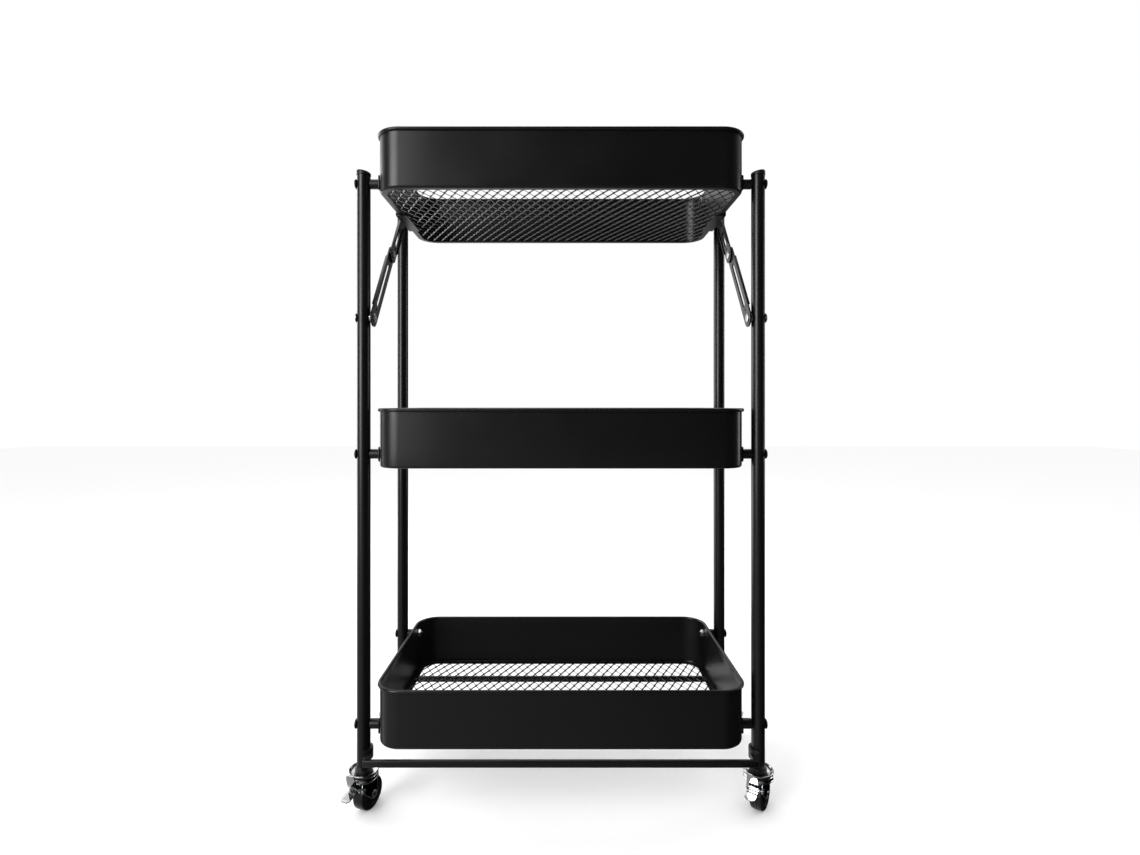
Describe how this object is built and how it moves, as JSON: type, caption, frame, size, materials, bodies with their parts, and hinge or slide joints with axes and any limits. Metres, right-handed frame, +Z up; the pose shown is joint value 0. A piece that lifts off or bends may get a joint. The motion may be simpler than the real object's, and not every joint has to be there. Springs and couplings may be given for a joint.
{
  "type": "rolling utility cart",
  "caption": "Folding rolling cart: mesh-floored sheet-metal trays hung one above another on pivots between two post frames on braked swivel casters.",
  "frame": {"origin": "centre of the footprint, on the floor that the wheels stand on", "axes": "+Z up, the front faces -Y, X runs along the trays from left to right"},
  "size_m": [0.5128, 0.2298, 0.7645],
  "materials": {
    "black_steel": "semi-gloss powder coat",
    "black_plastic": "satin moulded",
    "wheel_plastic": "satin moulded",
    "chrome": "bright plated",
    "zinc": "zinc plated"
  },
  "bodies": {
    "front_frame": {"front_post_left": "black_steel", "front_post_right": "black_steel", "front_post_caps": "black_plastic", "front_rail": "black_steel", "front_rail_clips": "black_plastic", "front_caster_sockets": "black_plastic", "front_caster_stems": "chrome", "stay_post_bolts": "zinc"},
    "rear_frame": {"rear_post_left": "black_steel", "rear_post_right": "black_steel", "rear_post_caps": "black_plastic", "rear_rail": "black_steel", "rear_rail_clips": "black_plastic", "rear_caster_sockets": "black_plastic", "rear_caster_stems": "chrome"},
    "top_tray": {"top_tray_shell": "black_steel", "top_tray_mesh": "black_steel", "top_tray_pivot_plates": "black_steel", "top_tray_spacers": "black_steel", "top_tray_pivot_bolts": "black_steel", "top_tray_lock_nuts": "zinc", "stay_tray_brackets": "black_steel"},
    "middle_tray": {"middle_tray_shell": "black_steel", "middle_tray_mesh": "black_steel", "middle_tray_pivot_plates": "black_steel", "middle_tray_spacers": "black_steel", "middle_tray_pivot_bolts": "black_steel", "middle_tray_lock_nuts": "zinc"},
    "bottom_tray": {"bottom_tray_shell": "black_steel", "bottom_tray_mesh": "black_steel", "bottom_tray_pivot_plates": "black_steel", "bottom_tray_spacers": "black_steel", "bottom_tray_pivot_bolts": "black_steel", "bottom_tray_lock_nuts": "zinc"},
    "stay_lower_left": {"stay_lower_link_left": "black_steel", "stay_knee_rivet_left": "zinc"},
    "stay_upper_left": {"stay_upper_link_left": "black_steel", "stay_tray_rivet_left": "zinc"},
    "stay_lower_right": {"stay_lower_link_right": "black_steel", "stay_knee_rivet_right": "zinc"},
    "stay_upper_right": {"stay_upper_link_right": "black_steel", "stay_tray_rivet_right": "zinc"},
    "front_left_fork": {"front_left_caster_fork": "chrome", "front_left_caster_rivets": "zinc"},
    "front_left_wheel": {"front_left_caster_wheel": "wheel_plastic"},
    "front_left_brake": {"front_left_caster_brake_lever": "chrome"},
    "front_right_fork": {"front_right_caster_fork": "chrome", "front_right_caster_rivets": "zinc"},
    "front_right_wheel": {"front_right_caster_wheel": "wheel_plastic"},
    "front_right_brake": {"front_right_caster_brake_lever": "chrome"},
    "rear_left_fork": {"rear_left_caster_fork": "chrome", "rear_left_caster_rivets": "zinc"},
    "rear_left_wheel": {"rear_left_caster_wheel": "wheel_plastic"},
    "rear_left_brake": {"rear_left_caster_brake_lever": "chrome"},
    "rear_right_fork": {"rear_right_caster_fork": "chrome", "rear_right_caster_rivets": "zinc"},
    "rear_right_wheel": {"rear_right_caster_wheel": "wheel_plastic"},
    "rear_right_brake": {"rear_right_caster_brake_lever": "chrome"}
  },
  "joints": [
    {"name": "top_tray_fold", "type": "hinge", "parent": "front_frame", "child": "top_tray", "pos_m": [0, -0.083, 0.7125], "axis": [-1, 0, 0], "range_deg": [0, 90]},
    {"name": "middle_tray_fold", "type": "hinge", "parent": "front_frame", "child": "middle_tray", "pos_m": [0, -0.083, 0.406], "axis": [-1, 0, 0], "range_deg": [0, 90]},
    {"name": "bottom_tray_fold", "type": "hinge", "parent": "front_frame", "child": "bottom_tray", "pos_m": [0, -0.083, 0.0995], "axis": [-1, 0, 0], "range_deg": [0, 90]},
    {"name": "rear_frame_fold", "type": "hinge", "parent": "top_tray", "child": "rear_frame", "pos_m": [0, 0.083, 0.7515], "axis": [-1, 0, 0], "range_deg": [-90, 0]},
    {"name": "stay_lower_left_turn", "type": "hinge", "parent": "front_frame", "child": "stay_lower_left", "pos_m": [-0.2129, -0.083, 0.5605], "axis": [-1, 0, 0], "range_deg": [-37.9, 0]},
    {"name": "stay_knee_left", "type": "hinge", "parent": "stay_lower_left", "child": "stay_upper_left", "pos_m": [-0.2107, -0.01358, 0.64993], "axis": [-1, 0, 0], "range_deg": [0, 180]},
    {"name": "stay_lower_right_turn", "type": "hinge", "parent": "front_frame", "child": "stay_lower_right", "pos_m": [0.2129, -0.083, 0.5605], "axis": [-1, 0, 0], "range_deg": [-37.9, 0]},
    {"name": "stay_knee_right", "type": "hinge", "parent": "stay_lower_right", "child": "stay_upper_right", "pos_m": [0.2107, -0.01358, 0.64993], "axis": [-1, 0, 0], "range_deg": [0, 180]},
    {"name": "front_left_swivel", "type": "hinge", "parent": "front_frame", "child": "front_left_fork", "pos_m": [-0.2242, -0.083, 0.0446], "axis": [0, 0, 1], "continuous": true},
    {"name": "front_left_roll", "type": "hinge", "parent": "front_left_fork", "child": "front_left_wheel", "pos_m": [-0.22169, -0.07647, 0.018], "axis": [0.9336, -0.3584, 0], "continuous": true},
    {"name": "front_left_brake_press", "type": "hinge", "parent": "front_left_fork", "child": "front_left_brake", "pos_m": [-0.228, -0.0929, 0.0307], "axis": [0.9336, -0.3584, 0], "range_deg": [0, 25]},
    {"name": "front_right_swivel", "type": "hinge", "parent": "front_frame", "child": "front_right_fork", "pos_m": [0.2242, -0.083, 0.0446], "axis": [0, 0, 1], "continuous": true},
    {"name": "front_right_roll", "type": "hinge", "parent": "front_right_fork", "child": "front_right_wheel", "pos_m": [0.22822, -0.07727, 0.018], "axis": [0.8192, -0.5736, 0], "continuous": true},
    {"name": "front_right_brake_press", "type": "hinge", "parent": "front_right_fork", "child": "front_right_brake", "pos_m": [0.21812, -0.09168, 0.0307], "axis": [0.8192, -0.5736, 0], "range_deg": [0, 25]},
    {"name": "rear_left_swivel", "type": "hinge", "parent": "rear_frame", "child": "rear_left_fork", "pos_m": [-0.2242, 0.083, 0.0446], "axis": [0, 0, 1], "continuous": true},
    {"name": "rear_left_roll", "type": "hinge", "parent": "rear_left_fork", "child": "rear_left_wheel", "pos_m": [-0.21771, 0.08562, 0.018], "axis": [0.3746, -0.9272, 0], "continuous": true},
    {"name": "rear_left_brake_press", "type": "hinge", "parent": "rear_left_fork", "child": "rear_left_brake", "pos_m": [-0.23403, 0.07903, 0.0307], "axis": [0.3746, -0.9272, 0], "range_deg": [0, 25]},
    {"name": "rear_right_swivel", "type": "hinge", "parent": "rear_frame", "child": "rear_right_fork", "pos_m": [0.2242, 0.083, 0.0446], "axis": [0, 0, 1], "continuous": true},
    {"name": "rear_right_roll", "type": "hinge", "parent": "rear_right_fork", "child": "rear_right_wheel", "pos_m": [0.21771, 0.08562, 0.018], "axis": [0.3746, 0.9272, 0], "continuous": true},
    {"name": "rear_right_brake_press", "type": "hinge", "parent": "rear_right_fork", "child": "rear_right_brake", "pos_m": [0.23403, 0.07903, 0.0307], "axis": [0.3746, 0.9272, 0], "range_deg": [0, 25]}
  ],
  "couplings": [
    {"joint": "middle_tray_fold", "follows": "top_tray_fold", "ratio": 1},
    {"joint": "bottom_tray_fold", "follows": "top_tray_fold", "ratio": 1},
    {"joint": "rear_frame_fold", "follows": "top_tray_fold", "ratio": -1},
    {"joint": "stay_lower_left_turn", "follows": "top_tray_fold", "ratio": -0.42025},
    {"joint": "stay_knee_left", "follows": "top_tray_fold", "ratio": 2},
    {"joint": "stay_lower_right_turn", "follows": "top_tray_fold", "ratio": -0.42025},
    {"joint": "stay_knee_right", "follows": "top_tray_fold", "ratio": 2}
  ]
}
